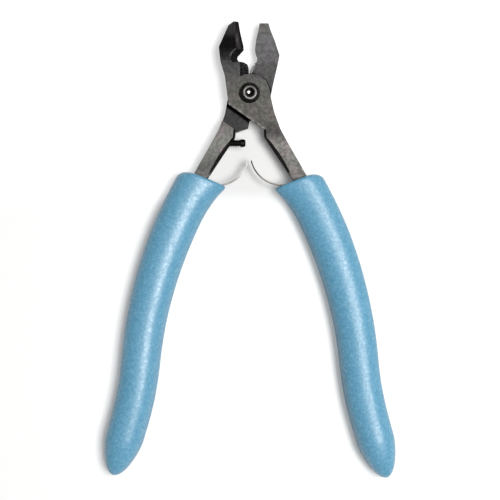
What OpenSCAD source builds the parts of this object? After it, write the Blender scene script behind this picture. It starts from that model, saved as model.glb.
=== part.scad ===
// Plier-type tube cutter: two steel halves crossing at a lap joint, bypass jaws with a throat
// notch for the tube, leaf springs, a stop screw and moulded grips.
// The origin is on the pivot axis, at the back face of the joint. +Y points along the jaws and
// +Z up along the pivot, out of the screw head. The tool is drawn open, as its springs hold it.

/* [Steel] */
// Thickness of the two laps together
steel_t = 6; // [5:0.5:7]
// Play between the two laps
lap_gap = 0.1; // [0.06:0.02:0.2]
// Radius of the round lap about the pivot
lap_r = 7.8; // [7.4:0.1:8]
// Thickness taken off each face of a tang, where its grip starts
tang_step = 0.4; // [0.2:0.1:0.8]
// Width of a tang
tang_w = 5.4; // [4.5:0.1:6]
// Length of a tang inside its grip
tang_l = 98; // [70:1:105]
// Width of the bevel along the inner edge of a shank, at its middle
shank_bevel = 1.3; // [0.8:0.1:1.5]

/* [Jaws] */
// Thickness of each jaw at its tip
tip_t = 1.2; // [1:0.1:1.5]
// Thickness left at the very cutting edge
edge_t = 0.25; // [0.15:0.05:0.5]
// Width that the bevel that sharpens a jaw would have at full thickness
edge_bevel = 3.6; // [3:0.1:4]
// Width of the sloped wall of the throat notch
notch_wall = 2.6; // [2:0.1:3]
// Depth of the ledge ground beside the throat
ledge_depth = 1.9; // [1:0.1:2.2]

/* [Pivot screw] */
// Radius of the button head
head_r = 4; // [3.6:0.1:4.4]
// Height of the button head
head_h = 2.2; // [1.8:0.1:2.6]
// Width across the flats of the hexagon socket
socket_af = 2.8; // [2.4:0.1:3]
// Radius of the plain shoulder that the front half turns on
shoulder_r = 2.5; // [2.2:0.1:2.8]
// Radial running clearance of the front half on the shoulder
pivot_play = 0.05; // [0.02:0.01:0.08]
// Radius of the threaded end
thread_r = 2; // [1.8:0.1:2.1]

/* [Stop screw] */
// Radius of the stop screw
stop_r = 1.45; // [1.2:0.05:1.5]
// How far the stop screw stands out of the shank
stop_out = 5.4; // [4:0.1:5.6]
// Distance of the stop screw below the pivot
stop_y = 19.2; // [18.8:0.1:19.4]

/* [Leaf springs] */
// Thickness of a leaf
leaf_t = 0.45; // [0.35:0.05:0.5]
// Width of a leaf
leaf_w = 4.4; // [3.6:0.1:4.8]
// Radius of the curved arm
leaf_r = 12.3; // [12:0.1:12.5]

/* [Grips] */
// Thickness of a grip
grip_t = 12; // [11:0.25:13]
// Half the width of a grip near its mouth
grip_half_w = 8.1; // [7.6:0.1:8.4]
// How far the guard at the mouth stands out towards the other grip
guard_out = 2.6; // [2:0.1:3]
// Length of a grip along its middle line
grip_l = 122; // [112:1:126]

/* [Hidden] */
$fn = 64;
eps = 0.01;
steel_color = [0.44, 0.43, 0.43];
black_color = [0.09, 0.08, 0.08];
leaf_color = [0.62, 0.60, 0.57];
grip_color = [0.37, 0.61, 0.75];
mid_z = steel_t / 2;

// The right handle's middle line leaves the mouth of its grip at handle_start. It bends in along
// one arc, out again along a second and ends straight. A heading is measured from straight down.
handle_start = [19.1, -32.2];
mouth_heading = 31;
waist_heading = 6;
end_heading = 15.5;
bend_in_r = 174;
bend_out_r = 156;
bend_in_l = bend_in_r * (mouth_heading - waist_heading) * PI / 180;
bend_out_l = bend_out_r * (end_heading - waist_heading) * PI / 180;

function across(heading) = [cos(heading), sin(heading)];
function along(heading) = [sin(heading), -cos(heading)];
bend_in_center = handle_start - bend_in_r * across(mouth_heading);
bend_out_center = bend_in_center + (bend_in_r + bend_out_r) * across(waist_heading);
bend_out_end = bend_out_center - bend_out_r * across(end_heading);

function heading_at(s) =
    s < bend_in_l ? mouth_heading - s / bend_in_r * 180 / PI
    : s < bend_in_l + bend_out_l ? waist_heading + (s - bend_in_l) / bend_out_r * 180 / PI
    : end_heading;
// The point at distance s along the handle's middle line, u to its outer side
function handle_point(s, u) =
    let (h = heading_at(s))
    s < bend_in_l ? bend_in_center + (bend_in_r + u) * across(h)
    : s < bend_in_l + bend_out_l ? bend_out_center - (bend_out_r - u) * across(h)
    : bend_out_end + (s - bend_in_l - bend_out_l) * along(h) + u * across(h);

// Outlines are lists of corners [x, y, rounding radius]
function unit(v) = v / norm(v);
function bearing(v) = atan2(v.y, v.x);
function polar(r, a) = r * [cos(a), sin(a)];
function turn(a, b) = (b - a + 540) % 360 - 180;
function corner_arc(a, b, c, r, steps) =
    let (
        u = unit(a - b),
        v = unit(c - b),
        half = acos(u * v) / 2,
        mid = b + unit(u + v) * r / sin(half),
        p = b + u * r / tan(half) - mid,
        q = b + v * r / tan(half) - mid,
        from = atan2(p.y, p.x),
        sweep = turn(from, atan2(q.y, q.x))
    )
    [for (i = [0:steps]) mid + r * [cos(from + sweep * i / steps), sin(from + sweep * i / steps)]];
function xy(corner) = [corner.x, corner.y];
function rounded(corners, steps = 6) =
    let (n = len(corners))
    [
        for (i = [0:n - 1])
            let (
                a = xy(corners[(i + n - 1) % n]),
                b = xy(corners[i]),
                c = xy(corners[(i + 1) % n]),
                r = corners[i].z
            )
            for (p = r > 0 ? corner_arc(a, b, c, r, steps) : [b]) p
    ];

// Ends of the straight lower edge of the front lap
lap_edge_left = [-8.1, -4.4];
lap_edge_right = [5.45, -13.95];
// Round bottom of the throat on the left jaw, and the lip above it
throat_center = [-3.5, 13.75];
throat_r = 1.25;
throat_lip = [-2.35, 16.85];
// Front half, top layer: left jaw, lap and the root of the right shank
front_lap_corners = [
    [-4.35, 28.1, 0.3], [-6.3, 28.1, 0.6], [-8.3, 26.5, 0.8], [-12, 17.9, 1.5],
    [-11.4, 12.6, 6], [-9.7, 7, 12], [-8.9, 0.8, 8], [-8.5, -2.3, 3], [lap_edge_left.x, lap_edge_left.y, 0.6],
    [lap_edge_right.x, lap_edge_right.y, 0.3], [5.5, -14.5, 0], [10.8, -11, 0],
    [9.5, -7.4, 8], [8.3, -2.2, 3], [7.9, 0.6, 0], [0, 0, 0],
    [-0.3, 7, 0], [-0.4, 9.6, 1], [-0.8, 11.3, 0.8], [-2.2, 12.1, 0.8],
    [-4.6, 12.75, 0.9], [-4.6, 14.3, 0.3],
    [throat_lip.x, throat_lip.y, 0.35], [-2.4, 18.6, 1], [-3.7, 24, 8]
];
// Ends of the inner edge of the right jaw's root
root_foot = [0.05, 8.9];
root_head = [1.35, 11.75];
// Rear half, bottom layer: right jaw, lap and the root of the left shank
rear_lap_corners = [
    [3.8, 27.6, 0.3], [7.3, 27.6, 0.4], [8.1, 25, 2], [9.8, 20.8, 6],
    [11.65, 15.1, 1.2], [10.8, 11, 6], [9.2, 4.2, 8], [8.1, -1.2, 3],
    [7.6, -4.9, 0.6], [-0.1, -10.5, 0.4], [-0.6, -13.3, 0.5], [-2.6, -13.9, 3],
    [-5.1, -14.8, 0], [-5.5, -15, 0], [-10.8, -11.2, 0], [-9.6, -7.6, 8], [-8.7, -2.6, 3],
    [-7.7, 0.6, 0], [0, 0, 0], [-0.2, 7, 0], [root_foot.x, root_foot.y, 1],
    [root_head.x, root_head.y, 0.4], [2.75, 12.35, 0.5], [2.75, 13.4, 1.5],
    [2.05, 17.2, 3], [2.55, 21.4, 5], [3.6, 25.8, 2]
];
// The right shank, from under the lap to the start of the tang
shank_corners = [
    [5.4, -12, 0], [5.6, -16.9, 1.2], [15.7, -32.05, 0], [17.8, -32.9, 0],
    [21.3, -30.5, 0], [16.9, -23, 20], [11.9, -14, 10], [9.5, -7.4, 0]
];
shank_inner_top = [5.6, -16.9];
shank_inner_end = [15.7, -32.05];

// The full thickness of a shank starts at this line across it, clear of the other lap's corner
step_dist = 14.9;
step_heading = 33.7;
shoulder_s = -2.2;
side_steps = 28;

// Everything of the right shank past the step line
module past_step_line() {
    rotate(step_heading)
        translate([-30, -step_dist - 60])
            square([60, 60]);
}

// A bar of the given section along the line between two points, started and ended early or late.
// In the section, x is measured to the left of the line and y upwards from height z.
module bar_along(from, to, z, before, after, section) {
    run = to - from;
    translate([from.x, from.y, z])
        rotate(bearing(run))
            rotate([90, 0, 90])
                translate([0, 0, -before])
                    linear_extrude(norm(run) + before + after)
                        polygon(section);
}

// The right shank at full thickness, with its bevelled inner edge
module shank_plate() {
    difference() {
        linear_extrude(steel_t)
            intersection() {
                difference() {
                    polygon(rounded(shank_corners));
                    shoulder_cut();
                }
                past_step_line();
            }
        shank_bevels();
        translate([0, 0, steel_t])
            mirror([0, 0, 1])
                shank_bevels();
    }
}

// The bevel along the inner edge of the right shank, on the upper face: a long scallop, which is a
// cone of large radius, and a straight part beside the lap
bevel_slope = 1.6;
scallop_r = 55;
module shank_bevels() {
    run = unit(shank_inner_end - shank_inner_top);
    into = [-run.y, run.x];
    center = (shank_inner_top + shank_inner_end) / 2 + into * (shank_bevel - scallop_r);
    depth = shank_bevel * bevel_slope + 0.5;
    w = shank_bevel * 0.7;
    translate([center.x, center.y, steel_t - depth])
        cylinder(r1 = scallop_r - depth / bevel_slope, r2 = scallop_r + 1 / bevel_slope, h = depth + 1);
    bar_along(lap_edge_right, shank_inner_top, steel_t, 0, 2, [
        [-1, 1], [-1, -w * bevel_slope], [0, -w * bevel_slope], [w, 0], [w, 1]
    ]);
}

// Everything past the shoulder, where the thinner tang takes over
module shoulder_cut() {
    translate(handle_point(0, 0))
        rotate(mouth_heading)
            translate([-20, -shoulder_s - 40])
                square([40, 40]);
}

// The right tang, thinner than the shank, along the handle's middle line
module tang() {
    half_w = tang_w / 2;
    s0 = shoulder_s - 1;
    s1 = tang_l - half_w;
    outer = [for (i = [0:side_steps]) handle_point(s0 + (s1 - s0) * i / side_steps, half_w)];
    inner = [for (i = [side_steps:-1:0]) handle_point(s0 + (s1 - s0) * i / side_steps, -half_w)];
    translate([0, 0, tang_step])
        linear_extrude(steel_t - 2 * tang_step) {
            polygon(concat(outer, inner));
            translate(handle_point(s1, 0))
                circle(half_w);
        }
}

// Material ground off the outer face of a jaw: it runs out on a long radius and thins to the tip.
// Drawn for a jaw whose outer face is on top and whose cutting plane is at mid_z.
taper_start_y = 14.2;
taper_tip_y = 28.1;
taper_end_y = taper_tip_y + 2;
taper_runout_r = 32;
module jaw_taper() {
    taper_end_z = mid_z + tip_t
        - (taper_end_y - taper_tip_y) * (steel_t - mid_z - tip_t) / (taper_tip_y - taper_start_y);
    translate([-16, 0, 0])
        rotate([90, 0, 90])
            linear_extrude(32)
                polygon(rounded([
                    [taper_start_y - 4, steel_t, 0],
                    [taper_start_y, steel_t, taper_runout_r],
                    [taper_end_y, taper_end_z, 0],
                    [taper_end_y, steel_t + 2, 0],
                    [taper_start_y - 4, steel_t + 2, 0]
                ], 8));
}

// The bevel that sharpens a jaw along its cutting edge, which starts at heel and ends at tip. Its
// plane runs on past both, down to heel_y. side is 1 where the metal lies to the left of the edge
// and -1 where it lies to the right.
front_heel = [-2.3, 18];
front_tip = [-4.4, 27.6];
rear_heel = [2.05, 17.5];
rear_tip = [3.75, 27.3];
module edge_grind(heel, tip, side, heel_y) {
    rise = mid_z - edge_t;
    intersection() {
        bar_along(heel, tip, mid_z + edge_t, 6, 6, [
            [-side * 3, 0], [0, 0], [side * edge_bevel, rise], [side * edge_bevel, rise + 1],
            [-side * 3, rise + 1]
        ]);
        translate([-20, heel_y, 0])
            cube([40, 20, steel_t + 2]);
    }
}

// Front half: left jaw and lap in the top layer, right shank at full thickness
module front_half() {
    color(steel_color)
        difference() {
            union() {
                translate([0, 0, mid_z + lap_gap / 2])
                    linear_extrude(mid_z - lap_gap / 2) {
                        polygon(rounded(front_lap_corners));
                        circle(lap_r);
                    }
                shank_plate();
                tang();
            }
            translate([0, 0, -1])
                cylinder(r = shoulder_r + pivot_play, h = steel_t + 2);
            jaw_taper();
            edge_grind(front_heel, front_tip, 1, 16.2);
            throat_wall();
            throat_ledge();
            // Broken edge along the lap's straight lower side
            bar_along(lap_edge_left, lap_edge_right, steel_t, 1, 0.2, [
                [-1, 1], [-1, -edge_break], [0, -edge_break], [edge_break, 0], [edge_break, 1]
            ]);
        }
}

// Width of the small flat along a broken edge
edge_break = 0.35;

// The sloped wall of the throat on the left jaw, whose foot is a cutting edge: a cone about the
// round bottom, a plane from there to the lip, and a steeper slope below that bounds the cone
throat_slope_y = 12.6;
throat_slope_run = 0.7;
module throat_wall() {
    chord = throat_lip - throat_center;
    turn_in = asin(throat_r / norm(chord));
    leave = throat_center + polar(throat_r, bearing(chord) + 90 - turn_in);
    bar_along(leave, throat_lip, mid_z, 0.25, 2.5, [
        [-0.2, 0], [0, 0], [notch_wall, mid_z], [notch_wall, mid_z + 1], [-0.2, mid_z + 1]
    ]);
    intersection() {
        translate([throat_center.x, throat_center.y, mid_z])
            cylinder(r1 = throat_r, r2 = throat_r + notch_wall, h = mid_z + eps);
        translate([-20, 0, 0])
            rotate([90, 0, 90])
                linear_extrude(40)
                    polygon([
                        [throat_slope_y, mid_z - 1], [throat_slope_y, mid_z],
                        [throat_slope_y - throat_slope_run, steel_t],
                        [throat_slope_y - throat_slope_run, steel_t + 1],
                        [throat_slope_y + 8, steel_t + 1], [throat_slope_y + 8, mid_z - 1]
                    ]);
    }
}

// The shallow hollow of the throat on the right jaw, coned towards the outer face
hollow_center = [0.9, 13.6];
hollow_r = 2;
hollow_outer_r = 3.8;
module throat_hollow() {
    translate([hollow_center.x, hollow_center.y, mid_z])
        cylinder(r1 = hollow_r, r2 = hollow_outer_r, h = mid_z + eps);
}

// Ledge ground into the outer face between the throat and the lap
ledge_x = -3.8;
module throat_ledge() {
    difference() {
        translate([ledge_x, lap_r - 2, steel_t - ledge_depth])
            cube([6, 7.2, ledge_depth + 1]);
        cylinder(r = lap_r - 0.4, h = steel_t + 2);
    }
}

// Rear half: right jaw and lap in the bottom layer, left shank at full thickness
root_relief = 0.25;
root_y = 11.8;
root_facet_w = 1;
root_facet_depth = 0.8;
module rear_half() {
    root_z = mid_z - lap_gap / 2 - root_relief;
    color(steel_color)
        difference() {
            union() {
                linear_extrude(mid_z - lap_gap / 2) {
                    polygon(rounded(rear_lap_corners));
                    circle(lap_r);
                }
                mirror([1, 0, 0]) {
                    shank_plate();
                    tang();
                }
            }
            translate([0, 0, -1])
                cylinder(r = thread_r, h = steel_t + 2);
            // The same grinding as on the front half, from the back
            translate([0, 0, steel_t])
                mirror([0, 0, 1]) {
                    jaw_taper();
                    edge_grind(rear_heel, rear_tip, -1, 15.2);
                    throat_hollow();
                    mirror([1, 0, 0])
                        throat_ledge();
                }
            // Shallow relief between the jaw's face and the lap
            translate([-4, lap_r - 1, root_z])
                cube([20, root_y - lap_r + 1, 2]);
            // Facet along the root's inner edge
            bar_along(root_foot, root_head, root_z, 0.6, 0.2, [
                [0.5, 0.5], [0.5, -root_facet_depth], [0, -root_facet_depth],
                [-root_facet_w, 0], [-root_facet_w, 0.5]
            ]);
            stop_hole();
        }
}

stop_x = -7;
stop_pos = [stop_x, -stop_y, mid_z];
module stop_hole() {
    translate([-20, stop_pos.y, stop_pos.z])
        rotate([0, 90, 0])
            cylinder(r = stop_r + 0.05, h = 20);
}

// Stop screw: plain shank with a rounded end, slotted at its outer end
module stop_screw() {
    tip_r = stop_r + 0.1;
    tip_l = 2;
    shank_l = 7;
    color(black_color)
        translate(stop_pos)
            rotate([0, 90, 0])
                difference() {
                    rotate_extrude()
                        polygon([
                            [0, -shank_l], [stop_r - 0.3, -shank_l], [stop_r, -shank_l + 0.3],
                            [stop_r, stop_out - tip_l - 0.2], [tip_r, stop_out - tip_l],
                            [tip_r, stop_out - 0.8], [tip_r - 0.25, stop_out - 0.3],
                            [tip_r - 0.8, stop_out], [0, stop_out]
                        ]);
                    translate([-0.3, -stop_r - 1, -shank_l - eps])
                        cube([0.6, 2 * stop_r + 2, 0.9]);
                }
}

// Pivot screw: button head with a hexagon socket, plain shoulder, threaded end
module pivot_screw() {
    seat_z = steel_t + 0.05;
    rim_h = 0.35;
    flat_r = 2.45;
    thread_end_z = 0;
    socket_depth = 1.5;
    dome = [
        for (a = [0:11.25:90])
            [flat_r + (head_r - flat_r) * cos(a), rim_h + (head_h - rim_h) * sin(a)]
    ];
    color(black_color)
        difference() {
            union() {
                translate([0, 0, seat_z])
                    rotate_extrude()
                        polygon(concat([[0, 0], [head_r - 0.1, 0], [head_r, 0.1]], dome, [[0, head_h]]));
                translate([0, 0, mid_z])
                    cylinder(r = shoulder_r, h = seat_z - mid_z + eps);
                translate([0, 0, thread_end_z])
                    cylinder(r = thread_r, h = mid_z);
            }
            translate([0, 0, seat_z + head_h - socket_depth])
                cylinder(r = socket_af / sqrt(3), h = socket_depth + 1, $fn = 6);
        }
}

// A leaf, on the right: foot against the tang, tight bend, straight run, curved arm. The straight
// run is tangent to the arm, and the corner that the bend rounds is leaf_corner.
leaf_corner = [17.25, -35.4];
leaf_center = [12.6, -23.3];
leaf_foot_l = 4;
leaf_foot_heading = mouth_heading - 0.6;
leaf_bend_r = 0.8;
leaf_tip_angle = 192.5;
leaf_arm_angle = bearing(leaf_corner - leaf_center) + 360 - acos(leaf_r / norm(leaf_corner - leaf_center));
leaf_arm_start = leaf_center + polar(leaf_r, leaf_arm_angle);
leaf_foot_end = leaf_corner + leaf_foot_l * along(leaf_foot_heading);
to_foot = unit(leaf_foot_end - leaf_corner);
to_arm = unit(leaf_arm_start - leaf_corner);
leaf_bend_half = acos(to_foot * to_arm) / 2;
leaf_bend_cut = leaf_bend_r / tan(leaf_bend_half);
leaf_pivot = leaf_corner + unit(to_foot + to_arm) * leaf_bend_r / sin(leaf_bend_half);

leaf_lap = 0.06;
leaf_bend_t = leaf_t + 0.02;
// A straight of the strip, run into what it joins by the given lengths
module strip_line(from, to, before, after) {
    translate([from.x, from.y, mid_z])
        rotate(bearing(to - from))
            translate([-before, -leaf_t / 2, -leaf_w / 2])
                cube([norm(to - from) + before + after, leaf_t, leaf_w]);
}
// A bend of the strip, a hair thicker than the straights
module strip_arc(center, r, from, to) {
    translate([center.x, center.y, mid_z])
        rotate(from)
            rotate_extrude(angle = to - from)
                translate([r - leaf_bend_t / 2, -leaf_w / 2])
                    square([leaf_bend_t, leaf_w]);
}
module leaf() {
    bend_start = leaf_corner + to_foot * leaf_bend_cut;
    bend_end = leaf_corner + to_arm * leaf_bend_cut;
    strip_line(leaf_foot_end, bend_start, 0, leaf_lap);
    strip_arc(leaf_pivot, leaf_bend_r, bearing(bend_start - leaf_pivot), bearing(bend_end - leaf_pivot));
    strip_line(bend_end, leaf_arm_start, leaf_lap, leaf_lap);
    strip_arc(leaf_center, leaf_r, leaf_tip_angle, leaf_arm_angle);
}
module leaf_spring_right() {
    color(leaf_color)
        leaf();
}
module leaf_spring_left() {
    color(leaf_color)
        mirror([1, 0, 0])
            leaf();
}

// Hollow in a grip's mouth, where the leaf's foot and the root of its arm swing about the bend
leaf_swing = 20;
pocket_margin = 0.35;
pocket_arm = 9;
pocket_foot = norm(leaf_foot_end - leaf_pivot) + pocket_margin;
pocket_bend = leaf_bend_r + leaf_t / 2 + pocket_margin;
pocket_w = leaf_w + 0.6;
function fan(r, from, to, steps) = [for (i = [0:steps]) polar(r, from + (to - from) * i / steps)];
module leaf_pocket() {
    arm = bearing(to_arm) + 360;
    foot = bearing(to_foot);
    translate([leaf_pivot.x, leaf_pivot.y, mid_z - pocket_w / 2])
        linear_extrude(pocket_w)
            polygon(concat(
                fan(pocket_arm, arm + 1, arm - leaf_swing - asin(pocket_bend / pocket_arm), 6),
                fan(pocket_bend, arm - leaf_swing - 90, foot + 90, 4),
                fan(pocket_foot, foot + asin(pocket_bend / pocket_foot), foot - leaf_swing - 2, 6),
                [[0, 0]]
            ));
}

// Cross-section of a grip: a squarish ellipse, flat on its lowest and highest facets
ring_n = 32;
grip_squareness = 2.4;
function squarish(v) = sign(v) * pow(abs(v), 2 / grip_squareness);
flat_k = squarish(cos(180 / ring_n));
// Rounding at the mouth: how far the side is drawn in at distance s past it
function mouth_round(s, depth, len) = s >= len ? 0 : depth * (1 - sqrt(1 - pow(1 - s / len, 2)));
// How much each side is drawn in towards the middle of the grip, and the inner side at its end
outer_waist = 1.1;
inner_waist = 0.35;
inner_end = 0.6;
function ramp(s, from, to) = min(1, max(0, (s - from) / (to - from)));
dome_l = 15;
function dome_k(s) =
    let (k = max(0, s - grip_l + dome_l) / dome_l)
    sqrt(max(0, 1 - k * k)) * (1 - 0.18 * k);
function outer_w(s) =
    (grip_half_w - outer_waist * ramp(s, 25, 85)) * dome_k(s) - mouth_round(s, 4.6, 3.6);
function inner_w(s) =
    (grip_half_w - inner_waist * ramp(s, 25, 60) - inner_end * ramp(s, 90, 115)) * dome_k(s)
    + guard_out * exp(-pow(s / 6.5, 1.6)) - mouth_round(s, 1.1, 1.3);
function half_t(s) = grip_t / 2 * pow(dome_k(s), 0.8) - mouth_round(s, 1.1, 1.3);
// The crest of the section lies towards the outer side near the mouth
crest_out = 1.2;
function crest(s) = crest_out * (1 - ramp(s, 10, 60)) * dome_k(s);
mouth_slant = 0.17;
// The right grip sits a little further down its tang than the left one
right_slip = 1;
function grip_ring(s, slip) = [
    for (i = [0:ring_n - 1])
        let (
            a = 360 * (i + 0.5) / ring_n,
            c = squarish(cos(a)),
            u = (c > 0 ? c * outer_w(s) : c * inner_w(s)) + crest(s) * (1 - c * c),
            z = min(1, max(-1, squarish(sin(a)) / flat_k)) * half_t(s),
            p = handle_point(s + slip + mouth_slant * u * max(0, 1 - s / 14), u)
        )
        [p.x, p.y, mid_z + z]
];
mouth_rings = [0, 0.15, 0.45, 0.9, 1.5, 2.4, 3.6, 5, 7, 9.5, 12.5, 16];
body_rings = [for (s = [20:5:105]) s];
dome_rings = [for (i = [1:9]) grip_l - dome_l + dome_l * sin(90 * i / 9.35)];
grip_rings = concat(mouth_rings, body_rings, dome_rings);

module grip_body(slip) {
    rings = len(grip_rings);
    points = [for (s = grip_rings) for (p = grip_ring(s, slip)) p];
    sides = [
        for (r = [0:rings - 2], i = [0:ring_n - 1])
            let (j = (i + 1) % ring_n)
            for (tri = [
                [r * ring_n + i, (r + 1) * ring_n + i, r * ring_n + j],
                [r * ring_n + j, (r + 1) * ring_n + i, (r + 1) * ring_n + j]
            ]) tri
    ];
    mouth_cap = [for (i = [0:ring_n - 1]) i];
    end_cap = [for (i = [ring_n - 1:-1:0]) (rings - 1) * ring_n + i];
    polyhedron(points, concat(sides, [mouth_cap, end_cap]), convexity = 6);
}

// A grip in the right hand's place, hollow for the tang and for the leaf's foot
module grip(slip) {
    color(grip_color)
        difference() {
            grip_body(slip);
            tang();
            leaf_pocket();
        }
}
module grip_right() {
    grip(right_slip);
}
module grip_left() {
    mirror([1, 0, 0])
        grip(0);
}

front_half();
rear_half();
pivot_screw();
stop_screw();
leaf_spring_left();
leaf_spring_right();
grip_left();
grip_right();
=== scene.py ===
"""Plier-type tube cutter lying on a pale floor, seen from straight above.

Two blasted steel halves cross at a lap joint under a black button screw. A threaded stop screw
and two leaf springs sit between the shanks, and each handle has a moulded vinyl grip.
Lengths are in metres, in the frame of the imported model, and where a helper says so in
millimetres.
"""

import math

import bmesh
import bpy
import numpy as np
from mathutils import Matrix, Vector


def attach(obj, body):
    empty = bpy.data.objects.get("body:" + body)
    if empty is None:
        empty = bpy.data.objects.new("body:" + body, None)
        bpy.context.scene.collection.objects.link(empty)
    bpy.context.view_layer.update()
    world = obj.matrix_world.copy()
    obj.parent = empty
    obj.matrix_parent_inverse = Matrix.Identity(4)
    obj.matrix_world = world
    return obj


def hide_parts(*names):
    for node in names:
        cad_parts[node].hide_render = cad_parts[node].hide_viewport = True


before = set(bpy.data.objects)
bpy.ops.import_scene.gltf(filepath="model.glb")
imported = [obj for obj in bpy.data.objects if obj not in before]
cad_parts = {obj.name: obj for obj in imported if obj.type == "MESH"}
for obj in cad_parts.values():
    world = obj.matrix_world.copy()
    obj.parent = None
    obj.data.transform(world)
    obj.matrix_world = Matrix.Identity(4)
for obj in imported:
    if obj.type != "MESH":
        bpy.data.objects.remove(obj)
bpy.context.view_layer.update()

MM = 0.001
MID_Z = 3 * MM
STEEL_TOP = 6 * MM
FLOOR_Z = -3 * MM

# The right handle's middle line: in along one arc, out along a second, then straight
HANDLE_START = np.array([19.1, -32.2]) * MM
MOUTH_HEADING = math.radians(31)
WAIST_HEADING = math.radians(6)
END_HEADING = math.radians(15.5)
BEND_IN_R = 174 * MM
BEND_OUT_R = 156 * MM
BEND_IN_L = BEND_IN_R * (MOUTH_HEADING - WAIST_HEADING)
BEND_OUT_L = BEND_OUT_R * (END_HEADING - WAIST_HEADING)

# Grips, whose sides are drawn in by the waists and by the inner end
GRIP_L = 122 * MM
GRIP_T = 12 * MM
GRIP_HALF_W = 8.1 * MM
GRIP_POWER = 2.15
OUTER_WAIST = 1.1 * MM
INNER_WAIST = 0.35 * MM
INNER_END = 0.6 * MM
GUARD_OUT = 2.6 * MM
CREST_OUT = 0.6 * MM
MOULD_LINE = 0.5 * MM
MOUTH_SLANT = 0.17
LIP_L = 1.3 * MM
DOME_L = 15 * MM
RIGHT_SLIP = 1 * MM

# Leaf springs
LEAF_CORNER = np.array([17.25, -35.4]) * MM
LEAF_CENTER = np.array([12.6, -23.3]) * MM
LEAF_R = 12.3 * MM
LEAF_T = 0.45 * MM
LEAF_W = 4.4 * MM
LEAF_FOOT_L = 4 * MM
LEAF_BEND_R = 0.8 * MM
LEAF_HEADING = MOUTH_HEADING - math.radians(0.6)
LEAF_TIP_BEARING = 192.5

# Screws
THREAD_R = 2 * MM
SHOULDER_R = 2.5 * MM
HEAD_R = 4 * MM
HEAD_H = 2.2 * MM
SOCKET_AF = 2.8 * MM
STOP_R = 1.45 * MM
STOP_X = -7 * MM
STOP_Y = -19.2 * MM
STOP_OUT = 5.4 * MM
STOP_SHANK = 7 * MM

# Steel halves
LEDGE_Z = 4.1 * MM
ROOT_Z = 2.7 * MM
THROAT_RIM = [np.array([-6.6, 15.6]) * MM, np.array([-4.6, 17.8]) * MM]
GROUND_FROM_Y = 11.5 * MM
HONED_FROM_Y = 16 * MM
LAP_EDGE_Y = -9 * MM
SHARP = math.radians(28)
RIM_BREAK = 0.4 * MM
EDGE_BREAK_SHARE = 0.28

# The throat's centre, and the way from the pivot square to the front lap's straight lower edge
THROAT_CENTER = (-3.5 * MM, 13.75 * MM, 0)
LAP_EDGE_WAY = (-0.576, -0.817, 0)

# The order of a steel half's finishes
LEVEL, DARK, GROUND, WORN_AND_HIGHLIT, HONED, BARE = range(6)


# Meshes


def add_object(name, data):
    """Puts a mesh, a lamp or a camera in the scene as a new object."""
    obj = bpy.data.objects.new(name, data)
    bpy.context.collection.objects.link(obj)
    return obj


def piece(name, rings, body, replaced, finish):
    """Makes a closed mesh through rings, faces outwards, rides it on a body, names its slot."""
    mesh = bpy.data.meshes.new(name)
    vertices, faces = closed_grid(rings)
    mesh.from_pydata(vertices, [], faces)
    obj = add_object(name, mesh)
    skin = bmesh.new()
    skin.from_mesh(mesh)
    bmesh.ops.recalc_face_normals(skin, faces=skin.faces)
    skin.to_mesh(mesh)
    skin.free()
    mesh.shade_smooth()
    mesh.materials.append(finish)
    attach(obj, body)
    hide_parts(replaced)


def closed_grid(rings):
    """Vertices and faces of a tube through rings of points, shaped (rings, points, 3).

    Each ring joins the next in quads, around the ring and back to its first point. A pole at
    the mean of the first ring and one at the mean of the last close the ends with triangles.
    """
    count, width = rings.shape[:2]
    poles = np.stack([rings[0].mean(axis=0), rings[-1].mean(axis=0)])
    vertices = np.concatenate([rings.reshape(-1, 3), poles])
    row, col = np.meshgrid(np.arange(count - 1), np.arange(width), indexing="ij")
    here = row * width + col
    beside = row * width + (col + 1) % width
    quads = np.stack([here, beside, beside + width, here + width], axis=-1).reshape(-1, 4)
    first = np.arange(width)
    after = (first + 1) % width
    start_pole = np.full(width, count * width)
    start_fan = np.stack([start_pole, after, first], axis=-1)
    last = (count - 1) * width
    end_fan = np.stack([start_pole + 1, last + first, last + after], axis=-1)
    return vertices.tolist(), quads.tolist() + start_fan.tolist() + end_fan.tolist()


def mirrored(rings):
    """The same rings on the other side of the plane X = 0."""
    return rings * np.array([-1, 1, 1])


# The handle's middle line


def across_at(heading):
    """The direction across the handle at one heading: (cos h, sin h)."""
    return np.array([math.cos(heading), math.sin(heading)])


def handle_point(s, u):
    """X and Y of the point at distance s along the right handle's middle line, u outwards.

    With heading h measured from straight down, across is (cos h, sin h). The line turns about
    the centre of the first arc until BEND_IN_L, about that of the second until BEND_OUT_L
    further, and then runs straight along (sin h, -cos h).
    """
    s, u = np.broadcast_arrays(np.asarray(s, float), np.asarray(u, float))
    into = np.minimum(s, BEND_IN_L)
    out = np.clip(s - BEND_IN_L, 0, BEND_OUT_L)
    rest = np.maximum(s - BEND_IN_L - BEND_OUT_L, 0)
    h = MOUTH_HEADING - into / BEND_IN_R + out / BEND_OUT_R
    across = np.stack([np.cos(h), np.sin(h)], axis=-1)
    along = np.stack([np.sin(h), -np.cos(h)], axis=-1)
    in_center = HANDLE_START - BEND_IN_R * across_at(MOUTH_HEADING)
    out_center = in_center + (BEND_IN_R + BEND_OUT_R) * across_at(WAIST_HEADING)
    out_end = out_center - BEND_OUT_R * across_at(END_HEADING)
    u = u[..., None]
    first = in_center + (BEND_IN_R + u) * across
    second = out_center - (BEND_OUT_R - u) * across
    third = out_end + rest[..., None] * along + u * across
    on_second = (s >= BEND_IN_L)[..., None]
    on_third = (rest > 0)[..., None]
    return np.where(on_third, third, np.where(on_second, second, first))


# Grips


def ramp(s, start, end):
    """Rises in a straight line from 0 at start to 1 at end, and stays there."""
    return np.clip((s - start) / (end - start), 0, 1)


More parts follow.
